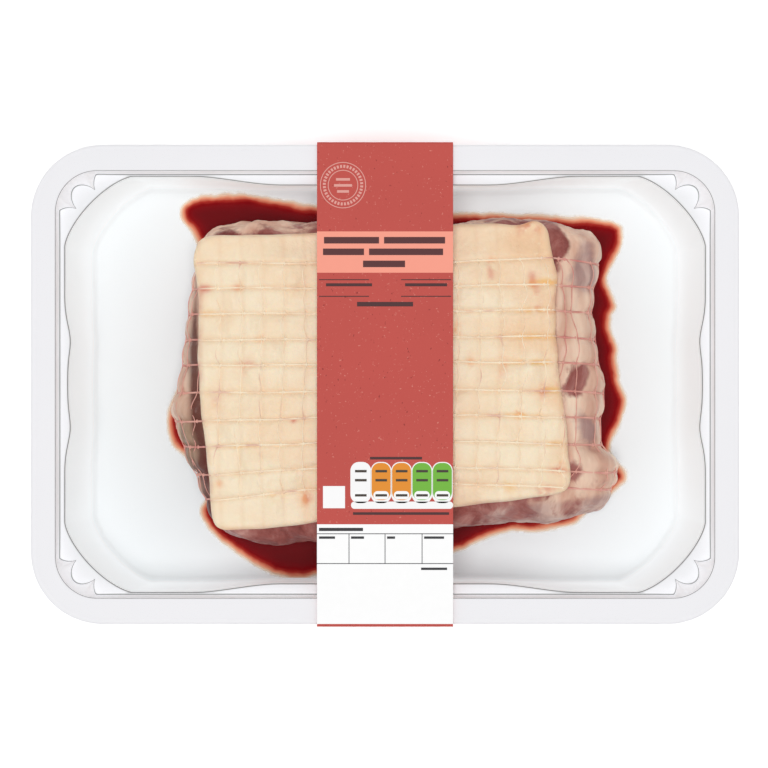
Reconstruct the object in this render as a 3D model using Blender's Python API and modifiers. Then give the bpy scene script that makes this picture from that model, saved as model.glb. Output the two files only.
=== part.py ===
"""Beef roasting joint in its sealed tray, with a card sleeve round the pack.

Lean beef under a slab of fat is held by an elastic net. It lies in its juices in a white
plastic tray, closed by a clear lid film, and a card sleeve wraps the middle of the pack.
Metres, +Z up. X runs along the tray, Y across it, and the origin is under its middle.
"""

import math

import bmesh
import bpy
from mathutils import Vector

# ---- driving dimensions -----------------------------------------------------------------
GAP = 0.0003  # kept between pieces that touch
WALL = 0.0008  # tray sheet
CARD = 0.0005  # sleeve board
FILM = 0.0003

# Tray, as half sizes (X, Y) of its outlines
RIM_HALF = (0.1700, 0.1150)
RIM_CORNER = 0.0345
MOUTH_HALF = (0.1581, 0.1025)
MOUTH_CORNER = 0.0200
WELL_HALF = (0.1546, 0.1005)
WELL_CORNER = (0.0330, 0.0340)  # semi-axes of the well's flattened corner
WELL_CORNER_POWER = 1.45
RIM_Z = 0.0700
RIM_LIP = 0.0045
RIM_EDGE_RADIUS = 0.0012
LEDGE_Z = 0.0620
FLOOR_Z = CARD + GAP + WALL
FLOOR_RADIUS = 0.0040
WALL_DRAFT = (0.0070, 0.0012)  # how far the short and long walls lean in on the way down

# Scalloped corner shelves
LOBE_CUSP_DEG = (33.8, 56.2)
LOBE_CUSP_RADIUS = 0.0328
LOBE_HEIGHT = 0.0072
SHELF_WALL_LEAN = 0.0013

# Joint: plan corners in the order back left, back right, front right, front left
LEAN_CORNERS = ((-0.0960, 0.0765), (0.1100, 0.0760), (0.1150, -0.0580), (-0.0900, -0.0760))
LEAN_BULGE = (0.0060, 0.0060)  # of the long and the short sides
LEAN_ROUNDNESS = 5.0
LEAN_CELLS = (14, 12, 6)
FAT_CORNERS = ((-0.0935, 0.0735), (0.0815, 0.0800), (0.0905, -0.0535), (-0.0850, -0.0720))
FAT_BULGE = (0.0005, 0.0010)
FAT_ROUNDNESS = 9.0
FAT_CELLS = (14, 12, 2)
FAT_THICKNESS = 0.0068
DOME_TOP = 0.0585
DOME_DROP = 0.0042  # how far the lean's top falls by its sides
DOME_HALF = (0.0980, 0.0760)

# Net: each hoop's place on the left and right side of the joint
STRING_RADIUS = 0.0006
STRAND_RADIUS = 0.0004
HOOPS_Y = (
    (0.0585, 0.0595), (0.0470, 0.0480), (0.0355, 0.0360), (0.0228, 0.0235), (0.0108, 0.0110),
    (-0.0030, -0.0020), (-0.0155, -0.0146), (-0.0280, -0.0270), (-0.0410, -0.0385), (-0.0540, -0.0440),
)
HOOP_SIDES = 28  # a multiple of 4, so that its top and bottom are level
STRANDS_X = (-0.0625, -0.0207, 0.0213, 0.0634)  # on top of the joint
SIDE_STRAND_Z = 0.0300

# Juices on the tray floor
JUICE_DEPTH = 0.0012
JUICE_HOLE = 0.84  # the dry middle, as a share of the joint's plan

# Sleeve
SLEEVE_WIDTH = 0.0652
SLEEVE_EDGE_Y = RIM_HALF[1] + 2 * GAP
SLEEVE_BASE_Y = 0.1000
SLEEVE_FOLD = 0.0010


# ---- helpers ----------------------------------------------------------------------------
def clear_scene():
    for old in list(bpy.data.objects):
        bpy.data.objects.remove(old, do_unlink=True)


def make_material(name, colour, roughness, alpha=1.0):
    material = bpy.data.materials.new(name)
    material.use_nodes = True
    shader = material.node_tree.nodes["Principled BSDF"]
    shader.inputs["Base Color"].default_value = (*colour, 1.0)
    shader.inputs["Roughness"].default_value = roughness
    shader.inputs["Metallic"].default_value = 0.0
    shader.inputs["Alpha"].default_value = alpha
    return material


def add_object(name, data, material, collection, smooth_deg=35.0):
    made = bpy.data.objects.new(name, data)
    data.materials.append(material)
    collection.objects.link(made)
    if isinstance(data, bpy.types.Mesh):
        data.shade_smooth()
        data.set_sharp_from_angle(angle=math.radians(smooth_deg))
    return made


def smooth_step(value, start, end):
    share = min(1.0, max(0.0, (value - start) / (end - start)))
    return share * share * (3.0 - 2.0 * share)


# ---- tray -------------------------------------------------------------------------------
CORNER_CENTRE = (WELL_HALF[0] - WELL_CORNER[0], WELL_HALF[1] - WELL_CORNER[1])
SIDE_STEPS = 5  # samples from the middle of a short side to its corner
END_STEPS = 6  # the same on a long side
CORNER_STEPS = 10


def ray_to_rounded_corner(direction, half, radius):
    """Distance from the well's corner centre to a rounded rectangle, along direction."""
    across = [half[k] - CORNER_CENTRE[k] for k in (0, 1)]
    for k in (0, 1):
        if direction[k] > 1e-9:
            reach = across[k] / direction[k]
            if direction[1 - k] * reach <= across[1 - k] - radius:
                return reach
    middle = [across[k] - radius for k in (0, 1)]
    along = direction[0] * middle[0] + direction[1] * middle[1]
    return along + math.sqrt(along**2 - middle[0] ** 2 - middle[1] ** 2 + radius**2)


def well_corner_radius(direction):
    power = WELL_CORNER_POWER
    total = sum((direction[k] / WELL_CORNER[k]) ** power for k in (0, 1))
    return total ** (-1.0 / power)


def lobed_radius(degrees, mouth):
    """The scalloped line of a corner shelf: three lobes that meet in two cusps."""
    from_cusp = min(abs(degrees - cusp) for cusp in LOBE_CUSP_DEG)
    lobe_half = (LOBE_CUSP_DEG[1] - LOBE_CUSP_DEG[0]) / 2
    rise = math.sin(math.pi / 2 * min(1.0, from_cusp / lobe_half)) ** 0.7
    return min(mouth - SHELF_WALL_LEAN, LOBE_CUSP_RADIUS + LOBE_HEIGHT * rise)


def short_side_inset(y):
    """The two soft ribs of a short side."""
    rib = math.exp(-(((abs(y) - 0.021) / 0.009) ** 2))
    return 0.0014 * (1 - smooth_step(abs(y), 0.020, 0.042)) + 0.0013 * rib


def long_side_inset(x):
    return 0.0042 * (1 - smooth_step(abs(x), 0.050, 0.094))


def quarter(kind, grow, rib_share=1.0):
    """One quarter of an outline, from the middle of the right side to the middle of the back.

    kind is rim, mouth, shelf or well, and grow moves the outline outwards.
    """
    half = {"rim": RIM_HALF, "mouth": MOUTH_HALF, "shelf": MOUTH_HALF, "well": WELL_HALF}[kind]
    lean = SHELF_WALL_LEAN if kind == "shelf" else 0.0
    points = []
    for step in range(SIDE_STEPS):
        y = CORNER_CENTRE[1] * step / SIDE_STEPS
        inset = short_side_inset(y) * rib_share if kind == "well" else lean
        points.append((half[0] - inset + grow, y))
    for step in range(CORNER_STEPS + 1):
        degrees = 90.0 * step / CORNER_STEPS
        direction = (math.cos(math.radians(degrees)), math.sin(math.radians(degrees)))
        if kind == "rim":
            reach = ray_to_rounded_corner(direction, RIM_HALF, RIM_CORNER)
        elif kind == "well":
            reach = well_corner_radius(direction)
        else:
            reach = ray_to_rounded_corner(direction, MOUTH_HALF, MOUTH_CORNER)
            if kind == "shelf":
                reach = lobed_radius(degrees, reach)
        points.append(tuple(CORNER_CENTRE[k] + direction[k] * (reach + grow) for k in (0, 1)))
    for step in range(1, END_STEPS + 1):
        x = CORNER_CENTRE[0] * (1 - step / END_STEPS)
        inset = long_side_inset(x) * rib_share if kind == "well" else lean
        points.append((x, half[1] - inset + grow))
    return points


def full_outline(kind, grow, z, rib_share=1.0, draft=(0.0, 0.0)):
    """The whole outline, anticlockwise, from its first quarter, drawn in by the draft."""
    scale = [1 - draft[k] / WELL_HALF[k] for k in (0, 1)]
    first = [(x * scale[0], y * scale[1]) for x, y in quarter(kind, grow, rib_share)]
    back_left = [(-x, y) for x, y in reversed(first[:-1])]
    upper = first + back_left
    lower = [(-x, -y) for x, y in upper[1:-1]]
    return [Vector((x, y, z)) for x, y in upper + lower]


def tray_loops():
    rim_edge = RIM_EDGE_RADIUS
    fillet = FLOOR_RADIUS
    bend = 1 - math.sqrt(0.5)
    return [
        full_outline("rim", 0.0, RIM_Z - RIM_LIP),
        full_outline("rim", 0.0, RIM_Z - rim_edge),
        full_outline("rim", -rim_edge, RIM_Z),
        full_outline("mouth", rim_edge, RIM_Z),
        full_outline("mouth", 0.0, RIM_Z - rim_edge),
        full_outline("shelf", 0.0, LEDGE_Z),
        full_outline("well", 0.0, LEDGE_Z - 0.0005),
        full_outline("well", -0.0006, LEDGE_Z - 0.0016),
        full_outline("well", 0.0, FLOOR_Z + fillet, 0.3, WALL_DRAFT),
        full_outline("well", -fillet * bend, FLOOR_Z + fillet * bend, 0.3, WALL_DRAFT),
        full_outline("well", -fillet, FLOOR_Z, 0.3, WALL_DRAFT),
    ]


def loft(name, loops, close_last):
    """A mesh whose faces join each loop of points to the next."""
    shape = bmesh.new()
    rings = [[shape.verts.new(point) for point in loop] for loop in loops]
    count = len(loops[0])
    for outer, inner in zip(rings, rings[1:]):
        for k in range(count):
            after = (k + 1) % count
            shape.faces.new((outer[k], outer[after], inner[after], inner[k]))
    if close_last:
        shape.faces.new(rings[-1])
    mesh = bpy.data.meshes.new(name)
    shape.to_mesh(mesh)
    shape.free()
    return mesh


def build_tray(collection, material):
    mesh = loft("tray", tray_loops(), close_last=True)
    tray = add_object("tray", mesh, material, collection)
    shell = tray.modifiers.new("sheet", "SOLIDIFY")
    shell.thickness = WALL
    shell.offset = -1.0
    shell.use_even_offset = True
    return tray


# ---- joint ------------------------------------------------------------------------------
def dome_z(x, y):
    """Height of the lean's top, which the fat lies on."""
    return DOME_TOP - DOME_DROP * ((x / DOME_HALF[0]) ** 2 + (y / DOME_HALF[1]) ** 2) / 2


def plan_point(corners, bulge, a, b):
    """A place in a four-cornered plan with bowed sides, from a and b between -1 and 1."""
    back_left, back_right, front_right, front_left = corners
    right, back = (a + 1) / 2, (b + 1) / 2
    x, y = (
        (1 - right) * (back * back_left[k] + (1 - back) * front_left[k])
        + right * (back * back_right[k] + (1 - back) * front_right[k])
        for k in (0, 1)
    )
    return x + bulge[1] * a * (1 - b * b), y + bulge[0] * b * (1 - a * a)


def rounded(point, power):
    """A point of the cube from -1 to 1, pulled onto a rounded cube."""
    return point * sum(abs(value) ** power for value in point) ** (-1.0 / power)


def cube_grid(name, cells):
    """A cube primitive from -1 to 1 whose faces are cut into cells."""
    shape = bmesh.new()
    bmesh.ops.create_cube(shape, size=2.0)
    for axis, count in enumerate(cells):
        normal = Vector([float(axis == k) for k in range(3)])
        for cut in range(1, count):
            place = normal * (2.0 * cut / count - 1.0)
            everything = shape.verts[:] + shape.edges[:] + shape.faces[:]
            bmesh.ops.bisect_plane(shape, geom=everything, plane_co=place, plane_no=normal)
    mesh = bpy.data.meshes.new(name)
    shape.to_mesh(mesh)
    shape.free()
    return mesh


def side_profile(height):
    """How wide the joint is at a height between -1 and 1: fullest below its middle."""
    return 1.0 - 0.050 * max(0.0, height + 0.25) ** 2 - 0.030 * min(0.0, height + 0.25) ** 2


def build_lean(collection, material, base_z):
    mesh = cube_grid("lean", LEAN_CELLS)
    for vertex in mesh.vertices:
        a, b, c = rounded(vertex.co, LEAN_ROUNDNESS)
        width = side_profile(c)
        x, y = plan_point(LEAN_CORNERS, LEAN_BULGE, a * width, b * width)
        vertex.co = (x, y, base_z + (dome_z(x, y) - base_z) * (c + 1) / 2)
    return add_object("lean_beef", mesh, material, collection, 60.0)


def build_fat(collection, material):
    mesh = cube_grid("fat", FAT_CELLS)
    for vertex in mesh.vertices:
        a, b, c = rounded(vertex.co, FAT_ROUNDNESS)
        x, y = plan_point(FAT_CORNERS, FAT_BULGE, a, b)
        ripple = 0.0008 * math.sin(x / 0.011 + 1.0) * abs(b) ** 6
        lift = FAT_THICKNESS * (c + 1) / 2
        vertex.co = (x, y + ripple, dome_z(x, y) + 1.4 * GAP + lift)
    return add_object("fat_cover", mesh, material, collection, 60.0)


# ---- net --------------------------------------------------------------------------------
def section_points(meshes, origin, along):
    """Where the meshes' edges cross the upright plane through origin, as (distance, z)."""
    across = Vector((-along.y, along.x, 0.0))
    found = []
    for mesh in meshes:
        sides = [(vertex.co - origin).dot(across) for vertex in mesh.vertices]
        for edge in mesh.edges:
            first, second = edge.vertices
            if sides[first] * sides[second] < 0:
                share = sides[first] / (sides[first] - sides[second])
                place = mesh.vertices[first].co.lerp(mesh.vertices[second].co, share)
                found.append(((place - origin).dot(along), place.z))
    return found


def taut_outline(points, clearance):
    """The polygon of a taut string round the points: one straight for each direction."""
    lines = []
    for k in range(HOOP_SIDES):
        angle = 2 * math.pi * k / HOOP_SIDES
        normal = (math.cos(angle), math.sin(angle))
        lines.append((normal, max(u * normal[0] + z * normal[1] for u, z in points) + clearance))
    corners = []
    for (n1, h1), (n2, h2) in zip(lines, lines[1:] + lines[:1]):
        turn = n1[0] * n2[1] - n1[1] * n2[0]
        corners.append(((h1 * n2[1] - h2 * n1[1]) / turn, (h2 * n1[0] - h1 * n2[0]) / turn))
    return corners


def place_on(outline, axis, value, sign):
    """The place where the outline has value on axis, on the side given by sign."""
    middle = sum(corner[1 - axis] for corner in outline) / len(outline)
    for p, q in zip(outline, outline[1:] + outline[:1]):
        if p[axis] == q[axis] or (p[axis] - value) * (q[axis] - value) > 0:
            continue
        share = (value - p[axis]) / (q[axis] - p[axis])
        other = p[1 - axis] + share * (q[1 - axis] - p[1 - axis])
        if (other - middle) * sign > 0:
            return (value, other) if axis == 0 else (other, value)
    raise ValueError("the hoop doesn't reach that place")


def joined_tubes(name, lines, closed, radius):
    """One mesh with a tube along each line of points."""
    curve = bpy.data.curves.new(name, "CURVE")
    curve.dimensions = "3D"
    curve.bevel_depth = radius
    curve.bevel_resolution = 1
    curve.use_fill_caps = True
    for line in lines:
        spline = curve.splines.new("POLY")
        spline.points.add(len(line) - 1)
        for knot, place in zip(spline.points, line):
            knot.co = (*place, 1.0)
        spline.use_cyclic_u = closed
    shape = bpy.data.objects.new(name, curve)
    mesh = bpy.data.meshes.new_from_object(shape)
    bpy.data.objects.remove(shape)
    return mesh


def build_net(collection, cutters, material, held):
    """One net: hoops round the joint, tied by strands that run along it."""
    crossings = [(0, x, 1) for x in STRANDS_X] + [(1, SIDE_STRAND_Z, 1), (1, SIDE_STRAND_Z, -1)]
    hoops, ties = [], []
    for left_y, right_y in HOOPS_Y:
        origin = Vector((0.0, (left_y + right_y) / 2, 0.0))
        reach = LEAN_CORNERS[1][0] - LEAN_CORNERS[0][0]
        along = Vector((reach, right_y - left_y, 0.0)).normalized()
        across = Vector((-along.y, along.x, 0.0))
        cloud = []
        for shift in (-STRING_RADIUS, 0.0, STRING_RADIUS):
            cloud += section_points(held, origin + across * shift, along)
        outline = taut_outline(cloud, STRING_RADIUS + GAP)
        tied = [place_on(outline, *crossing) for crossing in crossings]
        hoops.append([origin + along * u + Vector((0.0, 0.0, z)) for u, z in outline])
        ties.append([origin + along * u + Vector((0.0, 0.0, z)) for u, z in tied])
    mesh = joined_tubes("net", hoops, True, STRING_RADIUS)
    net = add_object("net", mesh, material, collection, 80.0)
    strands = joined_tubes("net_strands", list(zip(*ties)), False, STRAND_RADIUS)
    knotted = add_object("net_strands", strands, material, cutters)
    knotted.hide_render = True
    knotted.display_type = "WIRE"
    tie = net.modifiers.new("knots", "BOOLEAN")
    tie.operation = "UNION"
    tie.solver = "EXACT"
    tie.object = knotted
    return net


# ---- juices, film and sleeve ------------------------------------------------------------
JUICE_OUTLINE = (
    (0.108, 0.079), (0.1165, 0.066), (0.1095, 0.054), (0.1125, 0.038), (0.1140, 0.006),
    (0.1170, -0.012), (0.1120, -0.030), (0.1175, -0.046), (0.098, -0.068), (0.070, -0.0745),
    (0.040, -0.080), (0.005, -0.089), (-0.030, -0.0925), (-0.060, -0.090), (-0.082, -0.080),
    (-0.0945, -0.064), (-0.0965, -0.046), (-0.1065, -0.020), (-0.1065, -0.006), (-0.1035, 0.030),
    (-0.1000, 0.060), (-0.0985, 0.082), (-0.070, 0.093), (-0.035, 0.088), (0.020, 0.084),
    (0.070, 0.086),
)


def add_spline(curve, points, smooth):
    spline = curve.splines.new("BEZIER" if smooth else "POLY")
    if smooth:
        spline.bezier_points.add(len(points) - 1)
        for knot, (x, y) in zip(spline.bezier_points, points):
            knot.co = (x, y, 0.0)
            knot.handle_left_type = knot.handle_right_type = "AUTO"
    else:
        spline.points.add(len(points) - 1)
        for knot, (x, y) in zip(spline.points, points):
            knot.co = (x, y, 0.0, 1.0)
    spline.use_cyclic_u = True


def flat_curve(name, thickness):
    curve = bpy.data.curves.new(name, "CURVE")
    curve.dimensions = "2D"
    curve.fill_mode = "BOTH"
    curve.extrude = thickness / 2
    curve.resolution_u = 3
    return curve


def build_juices(collection, material):
    curve = flat_curve("juices", JUICE_DEPTH)
    add_spline(curve, JUICE_OUTLINE, smooth=True)
    hole = []
    sides = 40
    for k in range(sides):
        angle = 2 * math.pi * k / sides
        a, b, _ = rounded(Vector((math.cos(angle), math.sin(angle), 0.0)), LEAN_ROUNDNESS)
        hole.append(plan_point(LEAN_CORNERS, LEAN_BULGE, a * JUICE_HOLE, b * JUICE_HOLE))
    add_spline(curve, hole, smooth=False)
    juices = add_object("juices", curve, material, collection)
    juices.location.z = FLOOR_Z + GAP + JUICE_DEPTH / 2
    return juices


def build_film(collection, material):
    curve = flat_curve("lid_film", FILM)
    outline = full_outline("rim", -2 * RIM_EDGE_RADIUS, 0.0)
    add_spline(curve, [(point.x, point.y) for point in outline], smooth=False)
    film = add_object("lid_film", curve, material, collection)
    film.location.z = RIM_Z + GAP + FILM / 2
    return film


def sleeve_profile():
    """The sleeve's inner line across the pack, as (y, z), from the front to the back."""
    top = RIM_Z + FILM + 3 * GAP
    fold = SLEEVE_FOLD
    half = [
        (SLEEVE_BASE_Y - 2 * fold, CARD),
        (SLEEVE_BASE_Y, CARD + 0.6 * fold),
        (SLEEVE_EDGE_Y, RIM_Z - RIM_LIP - fold),
        (SLEEVE_EDGE_Y, top - 0.5 * fold),
        (SLEEVE_EDGE_Y - 0.5 * fold, top),
    ]
    return half + [(-y, z) for y, z in reversed(half)]


def build_sleeve(collection, material):
    ends = [-SLEEVE_WIDTH / 2, SLEEVE_WIDTH / 2]
    loops = [[Vector((x, y, z)) for y, z in sleeve_profile()] for x in ends]
    sleeve = add_object("sleeve", loft("sleeve", loops, close_last=False), material, collection)
    board = sleeve.modifiers.new("board", "SOLIDIFY")
    board.thickness = CARD
    board.offset = 1.0
    board.use_even_offset = True
    return sleeve


def main():
    clear_scene()
    pack = bpy.data.collections.new("beef_roasting_joint_pack")
    cutters = bpy.data.collections.new("cutters")
    bpy.context.scene.collection.children.link(pack)
    bpy.context.scene.collection.children.link(cutters)
    white_plastic = make_material("white_plastic", (0.86, 0.86, 0.88), 0.22)
    clear_film = make_material("clear_film", (0.92, 0.93, 0.94), 0.05, 0.12)
    lean_red = make_material("lean_beef", (0.36, 0.13, 0.12), 0.35)
    fat_cream = make_material("beef_fat", (0.86, 0.68, 0.46), 0.45)
    string_cream = make_material("net_string", (0.90, 0.72, 0.55), 0.60)
    blood_red = make_material("juices", (0.13, 0.008, 0.010), 0.08)
    printed_card = make_material("printed_card", (0.53, 0.09, 0.08), 0.55)

    build_tray(pack, white_plastic)
    base_z = FLOOR_Z + 2 * GAP + 2 * STRING_RADIUS
    lean = build_lean(pack, lean_red, base_z)
    fat = build_fat(pack, fat_cream)
    build_net(pack, cutters, string_cream, (lean.data, fat.data))
    build_juices(pack, blood_red)
    build_film(pack, clear_film)
    build_sleeve(pack, printed_card)


main()
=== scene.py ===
"""The looks of the beef joint pack: fine meshes and finishes over the solids of the frame.

The camera looks straight down on the pack. Lengths are metres, and the row frame is used
throughout: X along the tray, Y across it, Z up.
"""

import math

import bpy
import numpy as np
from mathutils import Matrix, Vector
from mathutils.bvhtree import BVHTree


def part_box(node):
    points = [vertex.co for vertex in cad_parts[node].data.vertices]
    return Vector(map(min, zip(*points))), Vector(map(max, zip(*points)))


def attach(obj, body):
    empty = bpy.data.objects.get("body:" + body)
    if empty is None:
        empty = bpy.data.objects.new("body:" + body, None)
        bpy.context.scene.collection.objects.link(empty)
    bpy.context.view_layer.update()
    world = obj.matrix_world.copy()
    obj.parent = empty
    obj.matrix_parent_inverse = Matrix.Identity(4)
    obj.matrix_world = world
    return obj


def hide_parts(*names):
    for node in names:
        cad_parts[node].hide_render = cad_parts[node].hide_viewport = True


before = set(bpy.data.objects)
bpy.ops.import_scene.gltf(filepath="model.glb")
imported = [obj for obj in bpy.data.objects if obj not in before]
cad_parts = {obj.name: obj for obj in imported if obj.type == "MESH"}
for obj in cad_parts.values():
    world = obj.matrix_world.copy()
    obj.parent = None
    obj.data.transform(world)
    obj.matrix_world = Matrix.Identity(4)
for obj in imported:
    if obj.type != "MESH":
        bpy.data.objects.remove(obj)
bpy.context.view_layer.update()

MM = 0.001
TRAY_LOW, TRAY_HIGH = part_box("tray")
SLEEVE_LOW, SLEEVE_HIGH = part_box("sleeve")

# ---- sizes ------------------------------------------------------------------------------
WALL = 0.8 * MM
RIM_Z = TRAY_HIGH.z
FLOOR_Z = TRAY_LOW.z + WALL
RIM_HALF = (TRAY_HIGH.x, TRAY_HIGH.y)
RIM_CORNER = 34.5 * MM
MOUTH_HALF = (158.1 * MM, 102.5 * MM)
MOUTH_CORNER = 20.0 * MM
WELL_HALF = (154.6 * MM, 100.5 * MM)
WELL_CORNER = (33.0 * MM, 34.0 * MM)
WELL_CORNER_POWER = 1.45
LEDGE_Z = RIM_Z - 8.0 * MM
WALL_DRAFT = (7.0 * MM, 1.2 * MM)
FLOOR_RADIUS = 4.0 * MM
LOBE_CUSP_DEG = (33.8, 56.2)
LOBE_CUSP_RADIUS = 32.8 * MM
LOBE_HEIGHT = 7.2 * MM

FAT_THICKNESS = 6.8 * MM
FAT_DROOP = 6.5 * MM  # the furthest that its edge hangs below its middle
DOME_TOP = 58.5 * MM
DOME_DROP = 4.2 * MM
DOME_HALF = (98.0 * MM, 76.0 * MM)
LEAN_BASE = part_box("lean_beef")[0].z
FILM_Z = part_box("lid_film")[0].z + 0.05 * MM
LEAN_ROUNDNESS = 4.4
LEAN_PLAN_ROUNDNESS = 11.0

# Outlines of the joint in millimetres: where each side lies, as (place along it, offset)
LEAN_LEFT = (
    (-66, -86), (-52, -90.5), (-44, -92), (-36, -97), (-30, -100.5), (-25, -101.5),
    (-14, -105.5), (-3, -102.5), (20, -100.5), (40, -98), (60, -95), (77, -92),
)
LEAN_RIGHT = (
    (-62, 113), (-51, 115), (-43, 115.5), (-36, 107.5), (-28, 106), (-5, 109), (18, 105.5),
    (41, 103.5), (60, 105.5), (73, 109),
)
LEAN_FRONT = (
    (-82, -76), (-64, -80), (-53, -80), (-34, -78), (33, -71.5), (51, -69.5), (75, -68.5),
    (100, -66),
)
LEAN_BACK = (
    (-91, 79), (-64, 82), (-52, 82.5), (-35, 80), (33, 80), (55, 82.5), (76, 82.5), (90, 78.5),
    (108, 77),
)
FAT_LEFT = (
    (-66, -83.8), (-56, -84.2), (-44, -84.9), (-30, -86), (-17, -87.6), (-4, -89.5),
    (19, -90.6), (48, -90.1), (63, -92.8), (72, -92.3),
)
FAT_RIGHT = (
    (-53, 89.5), (-50, 90), (-42, 88.4), (-27, 88), (-12, 85.3), (18, 82.8), (36, 82.1),
    (51, 83.7), (64, 80), (76, 80),
)
FAT_FRONT = ((-80, -71), (-60, -69.8), (-34, -67), (33, -59.4), (65, -55.9), (88, -53.2))
FAT_BACK = (
    (-92, 72), (-63, 72.6), (-35, 73.3), (32, 77), (51, 78.2), (65, 77), (73, 80), (80, 77.5),
)

# Smears on the fat in millimetres: (x, y, half length, half width, strength)
PINK_SMEARS = (
    (-87, 46, 3, 2.5, 0.7), (-71, 47, 2.5, 2.5, 0.5), (-60, 22, 2, 2, 0.4), (-38, -55, 3, 3, 1.1),
    (-66, 10, 4, 4, 0.4), (-44, -18, 1.5, 2, 0.8), (-82, -8, 2, 3, 0.5), (70, 76.5, 5, 4, 1.2),
    (51, 54, 1.6, 7, 0.8), (71, 51, 2, 4, 1.1), (73, 41, 2, 6, 1.0), (34, 25, 2.5, 5, 0.9),
    (41, 12, 2, 4, 0.5), (57, 8, 2, 5, 0.6), (65, -13, 2, 2.5, 1.0), (84, -40, 4, 3, 0.7),
    (78, -52, 5, 3, 0.6), (80, 36, 3, 2, 0.8), (76, -3, 2, 3, 0.7), (-80, -48, 3, 2, 0.5),
)
AMBER_SMEARS = (
    (78, 49.5, 7, 1.8, 0.9), (72, 35.8, 9, 1.4, 0.8), (73, 23.0, 10, 1.4, 0.8),
    (72, 10.6, 10, 1.4, 0.9), (80, -2.6, 6, 1.4, 0.9), (65, -15.2, 9, 1.3, 0.9),
    (79, -28.4, 7, 1.4, 0.7), (-86, 34, 4, 1.5, 0.6), (-70, -30, 8, 1.2, 0.4),
    (60, -49, 3, 4, 0.5), (-52, -54, 4, 2, 0.4),
)

# Net: each hoop's place across the pack, at these distances along it, in millimetres
HOOP_KNOTS_X = (-110, -84, -34, 33, 80, 110)
HOOPS = (
    (58.5, 58.6, 58.6, 59.0, 61.5, 58.0),
    (46.4, 46.5, 46.5, 47.5, 48.4, 46.6),
    (34.0, 34.2, 34.2, 35.4, 36.0, 34.6),
    (21.4, 21.6, 21.6, 22.9, 23.3, 21.8),
    (9.2, 9.4, 9.4, 10.8, 10.7, 9.6),
    (-4.2, -3.9, -3.6, -2.6, -3.0, -4.4),
    (-18.4, -17.6, -16.1, -14.7, -15.6, -17.0),
    (-31.0, -30.1, -28.2, -27.2, -28.6, -30.2),
    (-45.4, -43.9, -40.2, -39.8, -41.4, -43.4),
    (-57.6, -56.2, -50.4, -47.8, -49.6, -51.6),
)
STRING_RADIUS = 0.50 * MM
STRAND_RADIUS = 0.26 * MM
STRAND_FIRST = -79.6 * MM
STRAND_PITCH = 10.33 * MM
STRAND_COUNT = 17
SIDE_STRANDS_Z = (12, 22, 32, 42, 50)  # where strands run on both sides, in millimetres

# The juices' shore on the tray floor, in millimetres
SHORE = (
    (-101, 84), (-98, 91), (-86, 94), (-66, 94), (-46, 90), (-20, 87), (20, 85), (60, 84.5),
    (91, 83), (104, 82), (116, 80), (118.5, 76), (116.5, 68), (112, 59), (110.5, 52),
    (113.5, 44), (114.5, 39), (112, 34), (113, 25), (115, 18), (114.5, 12), (117, 2),
    (119.5, -8), (117.5, -18), (113.5, -26), (112, -34), (116.5, -40), (120, -47),
    (111, -56), (99, -65), (91, -70), (75, -72.5), (65, -72), (55, -75), (43, -79.5),
    (34, -83.5), (0, -91), (-35, -95), (-42, -96), (-54, -94.5), (-70, -86.5), (-82, -77.5),
    (-89, -69.5), (-91, -62), (-86, -53), (-89, -43), (-99, -36), (-105.5, -29),
    (-107.5, -20), (-106.5, -10), (-100, 2), (-93, 28), (-91, 60), (-94, 74),
)
JUICE_DEPTH = 1.0 * MM
JUICE_HALO = 3.0 * MM  # how far past the shore it still tints the tray
JUICE_REACH = 30.0 * MM  # how far in from the shore it is modelled, under the joint
JUICE_LIMIT_Y = 97.3 * MM
JUICE_STEP = 1.1 * MM

CAMERA_HEIGHT = 1.5
VIEW_WIDTH = 0.3683  # what the frame spans at the height of the rim
VIEW_CENTRE = (-0.5 * MM, 0.2 * MM)
STAGE_HALF = 6.0
WORLD_LIGHT = 0.38  # white from all sides, as a share of the light a level white sheet gets
TRAY_PAINTED_GLOW = (0.0, 0.49)  # painted glow of the tray's inside, as emission strength on its level parts and on its walls
KEY_LIGHT = 0.60  # from above, tilted to the front, in the same shares
KEY_SPREAD_DEG = 22
KEY_TILT_DEG = (2.5, -1.5, 0)


# ---- small tools ------------------------------------------------------------------------
def srgb(red, green, blue):
    """A colour written as 0 to 255 display values, in linear light."""
    shares = [value / 255 for value in (red, green, blue)]
    return tuple(s / 12.92 if s <= 0.04045 else ((s + 0.055) / 1.055) ** 2.4 for s in shares)


def ramp(value, start, end):
    share = np.clip((value - start) / (end - start), 0.0, 1.0)
    return share * share * (3.0 - 2.0 * share)


def along(knots, place):
    """A line through (place, offset) knots in millimetres, rounded off, in metres."""
    places, offsets = (np.array(column, float) for column in zip(*sorted(knots)))
    total = sum(np.interp(place / MM + shift, places, offsets) for shift in (-3, -1, 1, 3))
    return total / 4 * MM


def waves(points, size, seed, count=14):
    """A smooth random field with about unit height and features of that size."""
    random = np.random.default_rng(seed)
    total = np.zeros(len(points))
    for _ in range(count):
        turn = random.normal(size=3)
        turn *= 2 * math.pi / (size * random.uniform(0.7, 1.5) * np.linalg.norm(turn))
        total += np.cos(points @ turn + random.uniform(0, 2 * math.pi))
    return total * math.sqrt(2 / count) / 1.4


def make_mesh(name, points, faces):
    mesh = bpy.data.meshes.new(name)
    mesh.from_pydata([tuple(point) for point in points], [], [tuple(face) for face in faces])
    mesh.validate()
    mesh.shade_smooth()
    return mesh


def add_values(mesh, name, values):
    layer = mesh.attributes.new(name, "FLOAT", "POINT")
    layer.data.foreach_set("value", np.asarray(values, np.float32))


def add_piece(name, mesh, material, nodes=()):
    piece = bpy.data.objects.new(name, mesh)
    bpy.context.scene.collection.objects.link(piece)
    mesh.materials.append(material)
    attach(piece, "root")
    if nodes:
        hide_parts(*nodes)
    return piece


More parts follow.
